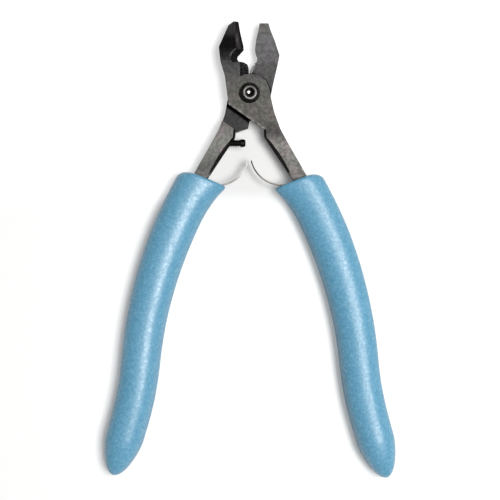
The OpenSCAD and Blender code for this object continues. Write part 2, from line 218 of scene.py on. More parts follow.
def dome(s):
    """Half width near the end, as a share: sqrt(1 - k * k) * (1 - 0.18 k), k along the dome."""
    k = np.clip(s - GRIP_L + DOME_L, 0, DOME_L) / DOME_L
    return np.sqrt(np.maximum(0, 1 - k * k)) * (1 - 0.18 * k)


def rounding(s, depth, length):
    """How far a side is drawn in at distance s from the mouth, on a quarter ellipse."""
    k = np.clip(1 - s / length, 0, 1)
    return depth * (1 - np.sqrt(np.maximum(0, 1 - k * k)))


def squarish(v, power):
    """Raises the size of a sine or cosine to 2 / power and keeps its sign: a rounded square."""
    return np.sign(v) * np.abs(v) ** (2 / power)


def grip_surface(slip):
    """Rings of the right grip: a recess for the tang, the mouth's lip, the body, the dome.

    At distance s a ring has an outer half width, an inner one that swells by
    GUARD_OUT * exp(-(s / 6.5 mm) ** 1.6) at the mouth, and a half thickness. Its point at angle
    a lies at (cos a, sin a) of a rounded square of GRIP_POWER, and its crest is shifted outwards
    near the mouth. A mould line stands proud at mid height along the inner side.
    """
    around = 112
    a = (np.arange(around) + 0.5) * 2 * np.pi / around
    lip = LIP_L * (1 - np.cos(np.linspace(0.12, 1, 12) * np.pi / 2))
    body = np.linspace(1.5 * MM, GRIP_L - DOME_L, 150)
    end = GRIP_L - DOME_L + DOME_L * np.sin(np.linspace(0.02, 0.985, 40) * np.pi / 2)
    s = np.concatenate([lip, body, end])[:, None]
    lip_rounding = rounding(s, 1.1 * MM, LIP_L)
    outer = (GRIP_HALF_W - OUTER_WAIST * ramp(s, 25 * MM, 85 * MM)) * dome(s)
    outer = outer - rounding(s, 4.6 * MM, 3.6 * MM)
    inner = GRIP_HALF_W - INNER_WAIST * ramp(s, 25 * MM, 60 * MM)
    inner = (inner - INNER_END * ramp(s, 90 * MM, 115 * MM)) * dome(s)
    inner = inner + GUARD_OUT * np.exp(-((s / (6.5 * MM)) ** 1.6)) - lip_rounding
    half_t = GRIP_T / 2 * dome(s) ** 0.8 - lip_rounding
    c = squarish(np.cos(a), GRIP_POWER)[None, :]
    z = half_t * squarish(np.sin(a), GRIP_POWER)[None, :]
    crest = CREST_OUT * (1 - ramp(s, 10 * MM, 50 * MM)) * dome(s)
    u = np.where(c > 0, c * outer, c * inner) + crest * (1 - c * c)
    at_line = np.exp(-((np.sin(a) / 0.05) ** 4)) * (np.cos(a) < 0)
    u = u - MOULD_LINE * at_line[None, :] * ramp(s, 3 * MM, 9 * MM) * dome(s)

    # The mouth's end face turns in to a slot around the tang and the foot of the leaf spring
    slot_mid = -2.0 * MM
    slot_half_w = 4.9 * MM
    slot_half_t = 2.75 * MM
    slot_u = slot_mid + slot_half_w * squarish(np.cos(a), 7)
    slot_z = slot_half_t * squarish(np.sin(a), 7)
    blend = np.array([1, 1, 1, 0.97, 0.9, 0.6, 0.3])[:, None]
    slot_s = np.array([6, 3, 0.5, 0.12, 0.0, -0.05, -0.03])[:, None] * MM
    slot_u = blend * slot_u + (1 - blend) * u[0]
    slot_z = blend * slot_z + (1 - blend) * z[0]
    s = np.concatenate([np.repeat(slot_s, around, 1), np.repeat(s, around, 1)])
    u = np.concatenate([slot_u, u])
    z = np.concatenate([slot_z, z])
    slant = MOUTH_SLANT * u * np.maximum(0, 1 - np.maximum(s, 0) / (14 * MM))
    xy = handle_point(s + slip + slant, u)
    return np.concatenate([xy, (MID_Z + z)[..., None]], axis=-1)


# Leaf springs


def arc(center, radius, start, end, steps):
    """Points on a circle, center + radius * (cos a, sin a), between two angles in degrees."""
    a = np.radians(np.linspace(start, end, steps + 1))[:, None]
    return center + radius * np.concatenate([np.cos(a), np.sin(a)], axis=1)


def fillet(a, b, c, radius, steps):
    """The arc that rounds the corner b between the points a and c.

    With half the corner's angle h, its centre is radius / sin h along the corner's bisector and
    it touches both sides at radius / tan h from the corner.
    """
    to_a = (a - b) / np.linalg.norm(a - b)
    to_c = (c - b) / np.linalg.norm(c - b)
    half = math.acos(float(to_a @ to_c)) / 2
    middle = to_a + to_c
    center = b + middle / np.linalg.norm(middle) * radius / math.sin(half)
    start = b + to_a * radius / math.tan(half) - center
    end = b + to_c * radius / math.tan(half) - center
    first = math.degrees(math.atan2(start[1], start[0]))
    turn = (math.degrees(math.atan2(end[1], end[0])) - first + 540) % 360 - 180
    return arc(center, radius, first, first + turn, steps)


def leaf_surface():
    """Rings along the right leaf: a rounded strip section carried along foot, bend and arm.

    The section is a rounded square of power 6, LEAF_T by LEAF_W. Over the last third of a width
    it narrows on a quarter ellipse, to 45 % of its width and 96 % of its thickness.
    """
    down = np.array([math.sin(LEAF_HEADING), -math.cos(LEAF_HEADING)])
    foot = LEAF_CORNER + LEAF_FOOT_L * down
    reach = LEAF_CORNER - LEAF_CENTER
    bearing = math.degrees(math.atan2(reach[1], reach[0])) + 360
    tangent = bearing - math.degrees(math.acos(LEAF_R / np.linalg.norm(reach)))
    arm = arc(LEAF_CENTER, LEAF_R, tangent, LEAF_TIP_BEARING, 60)
    bend = fillet(foot, LEAF_CORNER, arm[0], LEAF_BEND_R, 12)
    root = foot + (bend[0] - foot) * np.linspace(0, 0.95, 6)[:, None]
    run = bend[-1] + (arm[0] - bend[-1]) * np.linspace(0.15, 0.9, 6)[:, None]
    path = np.concatenate([root, bend, run, arm])
    step = np.gradient(path, axis=0)
    step /= np.linalg.norm(step, axis=1, keepdims=True)
    side = np.stack([-step[:, 1], step[:, 0]], axis=1)
    so_far = np.concatenate([[0], np.cumsum(np.linalg.norm(np.diff(path, axis=0), axis=1))])
    tip_l = 0.35 * LEAF_W
    k = np.clip(1 - (so_far[-1] - so_far) / tip_l, 0, 1)
    width = LEAF_W * (0.45 + 0.55 * np.sqrt(1 - k * k))
    thick = LEAF_T * (0.55 + 0.45 * np.sqrt(1 - np.clip(k - 0.6, 0, 1) ** 2))
    around = 28
    a = (np.arange(around) + 0.5) * 2 * np.pi / around
    across = squarish(np.cos(a), 6) / 2
    up = squarish(np.sin(a), 6) / 2
    xy = path[:, None, :] + side[:, None, :] * (thick[:, None] * across)[..., None]
    z = MID_Z + width[:, None] * up
    return np.concatenate([xy, z[..., None]], axis=-1)


# Screws


def button_screw():
    """Rings of the pivot screw, from the threaded end over the button head into its socket.

    Each station is a radius, a height and a hexagon share. At share 0 the ring is a circle, at
    share 1 it is a hexagon whose radius at angle a is R / cos(a folded into 30 degrees).
    """
    seat = STEEL_TOP + 0.05 * MM
    top = seat + HEAD_H
    rim_h = 0.35 * MM
    flat_r = 2.45 * MM
    half_af = SOCKET_AF / 2
    a = np.radians(np.linspace(0, 90, 15))
    dome_r = flat_r + (HEAD_R - flat_r) * np.cos(a)
    dome_z = seat + rim_h + (HEAD_H - rim_h) * np.sin(a)
    stations = [
        (THREAD_R - 0.25 * MM, 0.02 * MM, 0),
        (THREAD_R - 0.05 * MM, 0.25 * MM, 0),
        (THREAD_R, 0.5 * MM, 0),
        (THREAD_R, MID_Z, 0),
        (SHOULDER_R, MID_Z + 0.02 * MM, 0),
        (SHOULDER_R, seat, 0),
        (3.8 * MM, seat, 0),
        (HEAD_R, seat + 0.12 * MM, 0),
    ]
    stations += [(r, z, 0) for r, z in zip(dome_r, dome_z)]
    stations += [
        (flat_r - 0.1 * MM, top, 0),
        (half_af + 0.42 * MM, top, 0),
        (half_af + 0.34 * MM, top - 0.03 * MM, 0.1),
        (half_af + 0.05 * MM, top - 0.3 * MM, 0.8),
        (half_af, top - 0.38 * MM, 1),
        (half_af, top - 1.35 * MM, 1),
        (half_af - 0.12 * MM, top - 1.42 * MM, 1),
        (0.6 * MM, top - 1.5 * MM, 0.2),
        (0.1 * MM, top - 1.72 * MM, 0),
    ]
    r, z, share = np.array(stations).T[:, :, None]
    around = 144
    theta = np.arange(around) * 2 * np.pi / around
    fold = (theta + np.pi / 6) % (np.pi / 3) - np.pi / 6
    radius = r * (1 - share + share / np.cos(fold))
    rings = [radius * np.cos(theta), radius * np.sin(theta), np.broadcast_to(z, radius.shape)]
    return np.stack(rings, axis=-1)


def threaded_stop():
    """Rings of the stop screw along X: a thread whose crest winds round, then a rounded head.

    The radius is STOP_R less a thread depth times a flattened triangle wave of x / pitch plus
    the turn. The wave ends at the plain head, and the outer end has a chamfer.
    """
    pitch = 0.7 * MM
    depth = 0.36 * MM
    point_l = 0.9 * MM
    start = STOP_X - STOP_SHANK
    end = STOP_X + STOP_OUT
    head_from = end - 1.9 * MM
    x = np.concatenate([
        [start],
        np.linspace(start + 0.02 * MM, end - point_l, 230),
        end - point_l * (1 - np.sin(np.linspace(0.1, 1, 12) * np.pi / 2)),
    ])[:, None]
    around = 48
    theta = (np.arange(around) * 2 * np.pi / around)[None, :]
    wave = np.abs(((x - start) / pitch + theta / (2 * np.pi)) % 1 - 0.5) * 2
    wave = np.clip(wave * 1.5 - 0.2, 0, 1)
    on_head = ramp(x, head_from - 0.3 * MM, head_from)
    k = np.clip((x - end + point_l) / point_l, 0, 1)
    plain = STOP_R + 0.08 * MM * on_head
    plain = plain - 0.75 * MM * (1 - np.sqrt(np.maximum(0, 1 - k * k)))
    chamfer = 0.3 * MM * (1 - ramp(x, start, start + 0.3 * MM))
    radius = plain - depth * wave * (1 - on_head) - chamfer
    y = STOP_Y + radius * np.cos(theta)
    z = MID_Z + radius * np.sin(theta)
    return np.stack([np.broadcast_to(x, y.shape), y, z], axis=-1)


# Steel halves


def finish_of(face, top_is_outer):
    """The place of a face's finish in the half's list, by its tilt and where its middle lies.

    Level faces get the blasted finish, the jaw's sloping faces the ground one, its sharpened
    strip the honed one, the facet on the rear jaw's root the bare one, the broken edge of the lap
    the worn one, which is lightened as a painted highlight, and all others, with the sunk ledge,
    the dark skin. The tilt is the size of the normal's Z, which is 1 on a level face.
    """
    middle = face.calc_center_median()
    tilt = abs(face.normal.z)
    outer = face.normal.z > 0 if top_is_outer else face.normal.z < 0
    sunk = abs(abs(middle.z - MID_Z) - (LEDGE_Z - MID_Z)) < 0.02 * MM
    if tilt > 0.9999 and not sunk:
        return LEVEL
    if outer and tilt > 0.98 and middle.y > GROUND_FROM_Y:
        return GROUND
    if outer and 0.75 < tilt < 0.9 and middle.y > HONED_FROM_Y:
        return HONED
    if not top_is_outer and 0.7 < tilt < 0.9 and 0 < ROOT_Z - middle.z < 0.7 * MM:
        return BARE
    if tilt > 0.68 and abs(middle.y - LAP_EDGE_Y) < 4 * MM:
        return WORN_AND_HIGHLIT
    return DARK


def near_rim(edge):
    """True for an edge that lies along the upper rim of the throat's wall, on the top side."""
    middle = (edge.verts[0].co + edge.verts[1].co) / 2
    run = edge.verts[1].co - edge.verts[0].co
    start, end = THROAT_RIM
    along = (end - start) / np.linalg.norm(end - start)
    off = np.array([middle.x, middle.y]) - start
    aside = abs(off[0] * along[1] - off[1] * along[0])
    level = abs(run.x * along[0] + run.y * along[1]) > 0.6 * run.length
    return level and aside < 0.7 * MM and -1 * MM < off @ along < 3.4 * MM and middle.z > LEDGE_Z


def steel_half(node, name, body, top_is_outer, materials):
    """A merged copy of a packed half, its faces sorted into finishes and its edges broken.

    Every sharp edge gets a fine bevel in the worn edge finish, partly painted highlight; the
    bevel is widest along the rim of the throat's wall.
    """
    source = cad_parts[node].data
    body_mesh = bmesh.new()
    body_mesh.from_mesh(source)
    bmesh.ops.remove_doubles(body_mesh, verts=body_mesh.verts, dist=0.002 * MM)
    bmesh.ops.dissolve_limit(
        body_mesh, angle_limit=math.radians(0.4), verts=body_mesh.verts, edges=body_mesh.edges
    )
    for face in body_mesh.faces:
        face.material_index = finish_of(face, top_is_outer)
        face.smooth = True
    weights = body_mesh.edges.layers.float.new("bevel_weight_edge")
    for edge in body_mesh.edges:
        if len(edge.link_faces) == 2 and edge.calc_face_angle() > SHARP:
            edge[weights] = 1.0 if top_is_outer and near_rim(edge) else EDGE_BREAK_SHARE
    mesh = bpy.data.meshes.new(name)
    body_mesh.to_mesh(mesh)
    body_mesh.free()
    for finish in materials:
        mesh.materials.append(finish)
    mesh.set_sharp_from_angle(angle=SHARP)
    obj = add_object(name, mesh)
    breaks = obj.modifiers.new("broken edges", "BEVEL")
    breaks.width = RIM_BREAK
    breaks.segments = 2
    breaks.limit_method = "WEIGHT"
    breaks.material = WORN_AND_HIGHLIT
    breaks.use_clamp_overlap = True
    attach(obj, body)
    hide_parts(node)


# Shader node groups


class Nodes:
    """Short calls for building a node tree: add a node, set its inputs, link what is linked."""

    def __init__(self, tree):
        self.tree = tree

    def add(self, kind, inputs=None, **settings):
        """A new node; an input is a value, or another node's output that is linked to it."""
        node = self.tree.nodes.new(kind)
        for key, value in settings.items():
            setattr(node, key, value)
        for key, value in (inputs or {}).items():
            if isinstance(value, bpy.types.NodeSocket):
                self.link(value, node.inputs[key])
            else:
                node.inputs[key].default_value = value
        return node

    def link(self, value, socket):
        """Joins an output to an input."""
        self.tree.links.new(value, socket)

    def math(self, operation, a, b=0.0):
        """A number worked out from two numbers."""
        return self.add("ShaderNodeMath", {0: a, 1: b}, operation=operation).outputs[0]

    def sum_of(self, a, share_a, b, share_b):
        """a times its share plus b times its share."""
        return self.math("ADD", self.math("MULTIPLY", a, share_a), self.math("MULTIPLY", b, share_b))

    def vector(self, operation, a, b):
        """A vector worked out from two vectors."""
        node = self.add("ShaderNodeVectorMath", {0: a, 1: b}, operation=operation)
        return node.outputs["Vector"]

    def measure(self, operation, a, b=(0, 0, 0)):
        """A number worked out from vectors: LENGTH of one, DISTANCE or DOT_PRODUCT of two."""
        node = self.add("ShaderNodeVectorMath", {0: a, 1: b}, operation=operation)
        return node.outputs["Value"]

    def parts(self, vector):
        """The X, Y and Z of a vector, each by its name."""
        return self.add("ShaderNodeSeparateXYZ", {0: vector}).outputs

    def noise(self, vector, scale, detail=2.0, roughness=0.5):
        """A cloudy value between 0 and 1, with about scale patches to the metre."""
        inputs = {"Vector": vector, "Scale": scale, "Detail": detail, "Roughness": roughness}
        return self.add("ShaderNodeTexNoise", inputs).outputs["Fac"]

    def span(self, value, low, high, to_low=0.0, to_high=1.0):
        """Passes smoothly from to_low, where the value is low, to to_high, where it is high."""
        inputs = {"Value": value, 1: low, 2: high, 3: to_low, 4: to_high}
        node = self.add("ShaderNodeMapRange", inputs, interpolation_type="SMOOTHSTEP")
        return node.outputs[0]

    def zone(self, distance, start, end, to_low=0.0, to_high=1.0):
        """A span over a distance or a coordinate, from start to end in millimetres."""
        return self.span(distance, start * MM, end * MM, to_low, to_high)

    def band(self, distance, rise, fall):
        """1 between two limits: rises over the first pair of millimetres, falls over the second."""
        return self.math("MULTIPLY", self.zone(distance, *rise), self.zone(distance, *fall, 1.0, 0.0))

    def mix(self, share, a, b):
        """The colour a at share 0, b at share 1."""
        node = self.add("ShaderNodeMix", {0: share, 6: a, 7: b}, data_type="RGBA")
        return node.outputs[2]

    def stretch(self, vector, scale):
        """A place scaled along X, Y and Z, so that what is drawn on it is stretched."""
        inputs = {"Vector": vector, "Scale": scale}
        return self.add("ShaderNodeMapping", inputs).outputs[0]

    def use(self, tree, inputs):
        """Places a shader group and gives its outputs."""
        return self.add("ShaderNodeGroup", inputs, node_tree=tree).outputs

    def along(self, place, direction, start, end):
        """Rises from 0 to 1 between two distances along a direction, in millimetres."""
        inputs = {"Vector": place, "Direction": direction, "From": start * MM, "To": end * MM}
        return self.use(ALONG, inputs)["Share"]

    def mottle(self, place, tone_a, tone_b, patches, grain):
        """Two tones in patches and grain of given fineness: their colour and share."""
        inputs = {"Vector": place, "Tone A": tone_a, "Tone B": tone_b}
        return self.use(MOTTLE, {**inputs, "Patches": patches, "Grain": grain})

    def grain(self, place, coarse, fine):
        """A fine skin's height and high spots."""
        return self.use(GRAIN, {"Vector": place, "Coarse": coarse, "Fine": fine})


def group(name, inputs, outputs):
    """An empty shader group with named sockets, and its input and output nodes."""
    tree = bpy.data.node_groups.new(name, "ShaderNodeTree")
    for socket, kind in inputs:
        tree.interface.new_socket(socket, in_out="INPUT", socket_type=kind)
    for socket, kind in outputs:
        tree.interface.new_socket(socket, in_out="OUTPUT", socket_type=kind)
    nodes = Nodes(tree)
    return nodes, nodes.add("NodeGroupInput").outputs, nodes.add("NodeGroupOutput").inputs


COLOR = "NodeSocketColor"
FLOAT = "NodeSocketFloat"
VECTOR = "NodeSocketVector"


def mottle_group():
    """Two tones in soft patches, broken up by a finer grain."""
    inputs = [
        ("Vector", VECTOR),
        ("Tone A", COLOR),
        ("Tone B", COLOR),
        ("Patches", FLOAT),
        ("Grain", FLOAT),
    ]
    nodes, given, made = group("mottle", inputs, [("Color", COLOR), ("Share", FLOAT)])
    patches = nodes.noise(given["Vector"], given["Patches"], 3.0, 0.6)
    grain = nodes.noise(given["Vector"], given["Grain"], 2.0, 0.6)
    share = nodes.span(nodes.sum_of(patches, 0.6, grain, 0.4), 0.36, 0.64)
    nodes.link(nodes.mix(share, given["Tone A"], given["Tone B"]), made["Color"])
    nodes.link(share, made["Share"])
    return nodes.tree


def grain_group():
    """A fine blasted or moulded skin: its height, and a mask of its high spots."""
    inputs = [("Vector", VECTOR), ("Coarse", FLOAT), ("Fine", FLOAT)]
    nodes, given, made = group("grain", inputs, [("Height", FLOAT), ("High Spots", FLOAT)])
    coarse = nodes.noise(given["Vector"], given["Coarse"], 1.0, 0.5)
    fine = nodes.noise(given["Vector"], given["Fine"], 2.0, 0.55)
    height = nodes.sum_of(coarse, 0.6, fine, 0.4)
    nodes.link(height, made["Height"])
    nodes.link(nodes.span(height, 0.5, 0.66), made["High Spots"])
    return nodes.tree


def along_group():
    """A share that rises along one direction of the object, between two distances."""
    inputs = [("Vector", VECTOR), ("Direction", VECTOR), ("From", FLOAT), ("To", FLOAT)]
    nodes, given, made = group("along", inputs, [("Share", FLOAT)])
    distance = nodes.measure("DOT_PRODUCT", given["Vector"], given["Direction"])
    nodes.link(nodes.span(distance, given["From"], given["To"]), made["Share"])
    return nodes.tree


MOTTLE = mottle_group()
GRAIN = grain_group()
ALONG = along_group()


def material(name, **constants):
    """A material with its Principled shader, whose constants are set on its own sockets."""
    made = bpy.data.materials.new(name)
    made.use_nodes = True
    nodes = Nodes(made.node_tree)
    shader = made.node_tree.nodes["Principled BSDF"]
    for key, value in constants.items():
        shader.inputs[key.replace("_", " ")].default_value = value
    place = nodes.add("ShaderNodeTexCoord").outputs["Object"]
    return made, nodes, shader, place


def feed(nodes, shader, **links):
    """Links values to the shader's sockets."""
    for key, value in links.items():
        nodes.link(value, shader.inputs[key.replace("_", " ")])


def bump(nodes, height, strength, depth):
    """The normal of a relief that is depth millimetres high where its height is 1."""
    inputs = {"Height": height, "Strength": strength, "Distance": depth * MM}
    return nodes.add("ShaderNodeBump", inputs).outputs["Normal"]


def stepped_tone(nodes, place, stops):
    """A colour that passes from stop to stop along the tool: (Y in millimetres, colour).

    Each stop after the first is mixed in smoothly from the Y before it to its own.
    """
    color = (*stops[0][1], 1)
    for (y_before, _), (y, tone) in zip(stops, stops[1:]):
        share = nodes.along(place, (0, -1, 0), -y_before, -y)
        color = nodes.mix(share, color, (*tone, 1))
    return color


def scaled(nodes, color, factor):
    """A colour made lighter or darker by a factor."""
    inputs = {0: color, "Scale": factor}
    return nodes.add("ShaderNodeVectorMath", inputs, operation="SCALE").outputs[0]


def mottled_steel(nodes, place, color):
    """The steel's tone in darker and lighter patches, and in wider ones that lean to green or red.

    Gives the colour and the patches' share.
    """
    wide = nodes.span(nodes.noise(place, 210.0, 2.0), 0.38, 0.62)
    cast = nodes.mix(wide, (0.93, 0.98, 0.92, 1), (1.06, 1.0, 1.02, 1))
    color = nodes.vector("MULTIPLY", color, cast)
    dark, light = scaled(nodes, color, 0.86), scaled(nodes, color, 1.14)
    made = nodes.mottle(place, dark, light, 700.0, 2300.0)
    return made["Color"], made["Share"]


def front_steel():
    """Level faces of the front half: dark at the jaw, olive at the lap, warm at the shank.

    A painted highlight lightens the lap in a narrow, patchy band along its straight lower edge.
    """
    made, nodes, shader, place = material("blasted steel, front", Metallic=0.55)
    tone = stepped_tone(nodes, place, [
        (13.2, (0.021, 0.0205, 0.021)),
        (9.5, (0.042, 0.041, 0.042)),
        (2, (0.071, 0.069, 0.063)),
        (-9, (0.07, 0.067, 0.061)),
        (-15, (0.037, 0.033, 0.033)),
        (-20, (0.13, 0.121, 0.117)),
        (-27, (0.108, 0.101, 0.098)),
    ])
    color, share = mottled_steel(nodes, place, tone)
    # Painted highlight, in patches, along the lap's straight lower edge
    wear_and_highlight = nodes.along(place, LAP_EDGE_WAY, 7.3, 7.8)
    wear_and_highlight = nodes.math("MULTIPLY", wear_and_highlight, nodes.span(nodes.noise(place, 500.0), 0.35, 0.6, 0.2, 0.8))
    wear_and_highlight = nodes.math("MULTIPLY", wear_and_highlight, nodes.zone(nodes.parts(place)["Y"], -14, -13.5))
    color = nodes.mix(wear_and_highlight, color, (0.16, 0.153, 0.138, 1))
    grain = nodes.grain(place, 1900.0, 5200.0)
    feed(nodes, shader, Base_Color=color, Roughness=nodes.span(share, 0, 1, 0.62, 0.46),
         Normal=bump(nodes, grain["Height"], 0.35, 0.12))
    return made


def rear_steel():
    """Level faces of the rear half: grey jaw, darker lap face, shank that warms and darkens.

    The lap face is the level between the layers, below the jaw's root. Painted shade darkens it
    in a ring at the other lap's rim and in a band along that lap's straight lower edge.
    """
    made, nodes, shader, place = material("blasted steel, rear")
    tone = stepped_tone(nodes, place, [
        (28, (0.084, 0.079, 0.074)),
        (22, (0.088, 0.087, 0.091)),
        (12, (0.07, 0.069, 0.072)),
        (-13, (0.11, 0.101, 0.1)),
        (-19, (0.152, 0.144, 0.14)),
        (-29, (0.084, 0.082, 0.08)),
    ])
    parts = nodes.parts(place)
    between = nodes.band(parts["Z"], (1.4, 1.6), (3.4, 3.6))
    below_root = nodes.zone(parts["Y"], 11.75, 11.85, 1.0, 0.0)
    lap_face = nodes.math("MULTIPLY", between, below_root)
    # Painted shade: a dark ring in the corner at the other lap's rim, and a dark band where that
    # lap's straight lower edge shades the lap face
    radius = nodes.measure("LENGTH", nodes.vector("MULTIPLY", place, (1, 1, 0)))
    ring = nodes.zone(radius, 8, 8.7, 1.0, 0.0)
    past_edge = nodes.along(place, LAP_EDGE_WAY, 9, 9.9)
    below_lap = nodes.zone(parts["Y"], -4.2, -3.6, 1.0, 0.0)
    band = nodes.math("MULTIPLY", nodes.math("SUBTRACT", 1.0, past_edge), below_lap)
    painted_shade = nodes.math("MULTIPLY", nodes.math("MAXIMUM", ring, band), between)
    color, share = mottled_steel(nodes, place, tone)
    lap_tone = stepped_tone(nodes, place, [
        (10, (0.052, 0.051, 0.051)),
        (-3, (0.0185, 0.0178, 0.0193)),
    ])
    color = nodes.mix(lap_face, color, mottled_steel(nodes, place, lap_tone)[0])
    # The painted shade turns the lap face near black, fully metallic and a little rougher
    color = nodes.mix(nodes.math("MULTIPLY", painted_shade, 0.9), color, (0.003, 0.003, 0.003, 1))
    grain = nodes.grain(place, 1900.0, 5200.0)
    dull = nodes.math("MULTIPLY", painted_shade, 0.3)
    feed(nodes, shader, Base_Color=color, Metallic=nodes.span(painted_shade, 0, 1, 0.55, 1.0),
         Roughness=nodes.math("ADD", nodes.span(share, 0, 1, 0.62, 0.46), dull),
         Normal=bump(nodes, grain["Height"], 0.35, 0.12))
    return made


def dark_skin():
    """Sides, bevels and the throat: black oxide, a little rubbed on its high spots."""
    made, nodes, shader, place = material("dark oxide skin", Metallic=0.9)
    dark, light = (0.0025, 0.0025, 0.0024, 1), (0.011, 0.0102, 0.0102, 1)
    tone = nodes.mottle(place, dark, light, 500.0, 2200.0)
    grain = nodes.grain(place, 1700.0, 4800.0)
    color = nodes.mix(nodes.math("MULTIPLY", grain["High Spots"], 0.25), tone["Color"],
                      (0.09, 0.087, 0.085, 1))
    feed(nodes, shader, Base_Color=color, Roughness=nodes.span(tone["Share"], 0, 1, 0.6, 0.46),
         Normal=bump(nodes, grain["Height"], 0.4, 0.1))
    return made


def grinding_lines(nodes, place, tone):
    """A tone drawn out into fine lines along the jaw: its colour and the lines' height."""
    lines = nodes.noise(nodes.stretch(place, (1.0, 0.05, 0.3)), 2600.0, 4.0, 0.65)
    return scaled(nodes, tone, nodes.span(lines, 0.35, 0.7, 0.55, 1.7)), lines


def throat_rim(nodes, place):
    """A painted highlight in a band outside the throat's sloped wall, on the side that faces the
    jaw's back.

    It lies where the distance from the throat's centre, seen from above, is about 3.9 mm.
    """
    off = nodes.vector("SUBTRACT", place, THROAT_CENTER)
    off = nodes.vector("MULTIPLY", off, (1, 1, 0))
    radius = nodes.measure("LENGTH", off)
    band = nodes.band(radius, (3.4, 3.6), (4.1, 4.4))
    side = nodes.along(off, (-0.74, 0.67, 0), 3, 3.6)
    return nodes.math("MULTIPLY", band, side)


def ground_face():
    """Ground slopes of the jaws: near black past the run-out, with lines along the jaw."""
    made, nodes, shader, place = material("ground jaw face", Metallic=0.9)
    tone = stepped_tone(nodes, place, [
        (28, (0.036, 0.033, 0.034)),
        (24.5, (0.03, 0.028, 0.028)),
        (21, (0.0035, 0.003, 0.0031)),
        (18, (0.003, 0.0027, 0.0028)),
        (16.8, (0.008, 0.0077, 0.008)),
        (14.6, (0.0105, 0.01, 0.0105)),
        (12.6, (0.024, 0.023, 0.024)),
    ])
    color, lines = grinding_lines(nodes, place, tone)
    # Painted highlight along the throat's rim
    color = nodes.mix(throat_rim(nodes, place), color, (0.05, 0.048, 0.045, 1))
    feed(nodes, shader, Base_Color=color, Roughness=nodes.span(lines, 0.3, 0.7, 0.6, 0.44),
         Normal=bump(nodes, lines, 0.3, 0.08))
    return made


def honed_strip():
    """The sharpened strip of a jaw: lighter than the ground face, dark at the very edge.

    The tone lightens with the distance from the front jaw's edge line. The rear jaw's strip,
    which faces down, takes the lighter tone all over.
    """
    made, nodes, shader, place = material("honed strip", Metallic=0.9)
    inside = nodes.along(place, (-0.977, -0.2137, 0), -1.05, -0.6)
    tone = nodes.mix(inside, (0.012, 0.0115, 0.0115, 1), (0.021, 0.0195, 0.02, 1))
    color, lines = grinding_lines(nodes, place, tone)
    feed(nodes, shader, Base_Color=color, Roughness=nodes.span(lines, 0.3, 0.7, 0.55, 0.4),
         Normal=bump(nodes, lines, 0.25, 0.06))
    return made


def worn_highlit_edge():
    """Broken edges: rubbed brighter here and there, and lightened all over as a painted highlight."""
    made, nodes, shader, place = material("worn edge, painted highlight", Metallic=0.3, IOR=1.7)
    wear_and_highlight = nodes.span(nodes.noise(place, 700.0, 3.0, 0.6), 0.42, 0.62)
    # Worn patches on a tone that is lightened as painted highlight
    color = nodes.mix(wear_and_highlight, (0.15, 0.144, 0.14, 1), (0.46, 0.445, 0.42, 1))
    grain = nodes.grain(place, 2400.0, 6000.0)
    feed(nodes, shader, Base_Color=color, Roughness=nodes.span(wear_and_highlight, 0, 1, 0.5, 0.34),
         Normal=bump(nodes, grain["Height"], 0.25, 0.06))
    return made


def bare_facet():
    """The facet on the rear jaw's root, ground bright."""
    made, nodes, shader, place = material("bare facet", Metallic=0.2, Roughness=0.4)
    tone = nodes.mottle(place, (0.3, 0.3, 0.3, 1), (0.5, 0.5, 0.49, 1), 900.0, 2600.0)
    grain = nodes.grain(place, 2400.0, 6000.0)
    feed(nodes, shader, Base_Color=tone["Color"], Normal=bump(nodes, grain["Height"], 0.2, 0.05))
    return made


def screw_black():
    """The pivot screw: black oxide, with a painted highlight in a ring round its socket and a
    painted glint at its bottom.

    The ring's painted highlight is brighter on the side towards the handles, and broken by scuffs.
    """
    made, nodes, shader, place = material("black screw", Metallic=0.85)
    flat = nodes.vector("MULTIPLY", place, (1, 1, 0))
    # Painted highlight in a ring round the socket
    ring = nodes.band(nodes.measure("LENGTH", flat), (1.7, 2.1), (2.4, 2.75))
    # Painted glint on the socket's bottom, off its middle
    off_spot = nodes.measure("DISTANCE", flat, (-0.3 * MM, 0.2 * MM, 0))
    painted_glint = nodes.zone(off_spot, 0.25, 0.65, 1.0, 0.0)
    height = nodes.parts(place)["Z"]
    painted_glint = nodes.math("MULTIPLY", painted_glint, nodes.zone(height, 3, 4))
    ring = nodes.math("MULTIPLY", ring, nodes.zone(height, 7.8, 8.1))
    # The ring's painted highlight is brighter on the side towards the handles
    low_side = nodes.along(place, (0.5, -0.866, 0), -1.8, 2.5)
    ring = nodes.math("MULTIPLY", ring, nodes.span(low_side, 0, 1, 0.45, 1.0))
    scuffs = nodes.span(nodes.noise(place, 1800.0, 4.0, 0.7), 0.35, 0.6)
    ring = nodes.math("MULTIPLY", ring, nodes.span(scuffs, 0, 1, 0.55, 1.0))
    tone = nodes.mottle(place, (0.008, 0.008, 0.008, 1), (0.022, 0.02, 0.019, 1), 900.0, 3000.0)
    color = nodes.mix(ring, tone["Color"], (0.2, 0.194, 0.19, 1))
    color = nodes.mix(painted_glint, color, (0.8, 0.79, 0.77, 1))
    feed(nodes, shader, Base_Color=color, Roughness=nodes.span(ring, 0, 1, 0.4, 0.36),
         Normal=bump(nodes, scuffs, 0.12, 0.03))
    return made


def stop_black():
    """The stop screw: black oxide, a little brown, in patches."""
    made, nodes, shader, place = material("black stop screw", Metallic=0.9)
    tone = nodes.mottle(place, (0.006, 0.0054, 0.0047, 1), (0.023, 0.02, 0.017, 1), 900.0, 3200.0)
    grain = nodes.grain(place, 2600.0, 6000.0)
    feed(nodes, shader, Base_Color=tone["Color"],
         Roughness=nodes.span(tone["Share"], 0, 1, 0.36, 0.5),
         Normal=bump(nodes, grain["Height"], 0.2, 0.04))
    return made


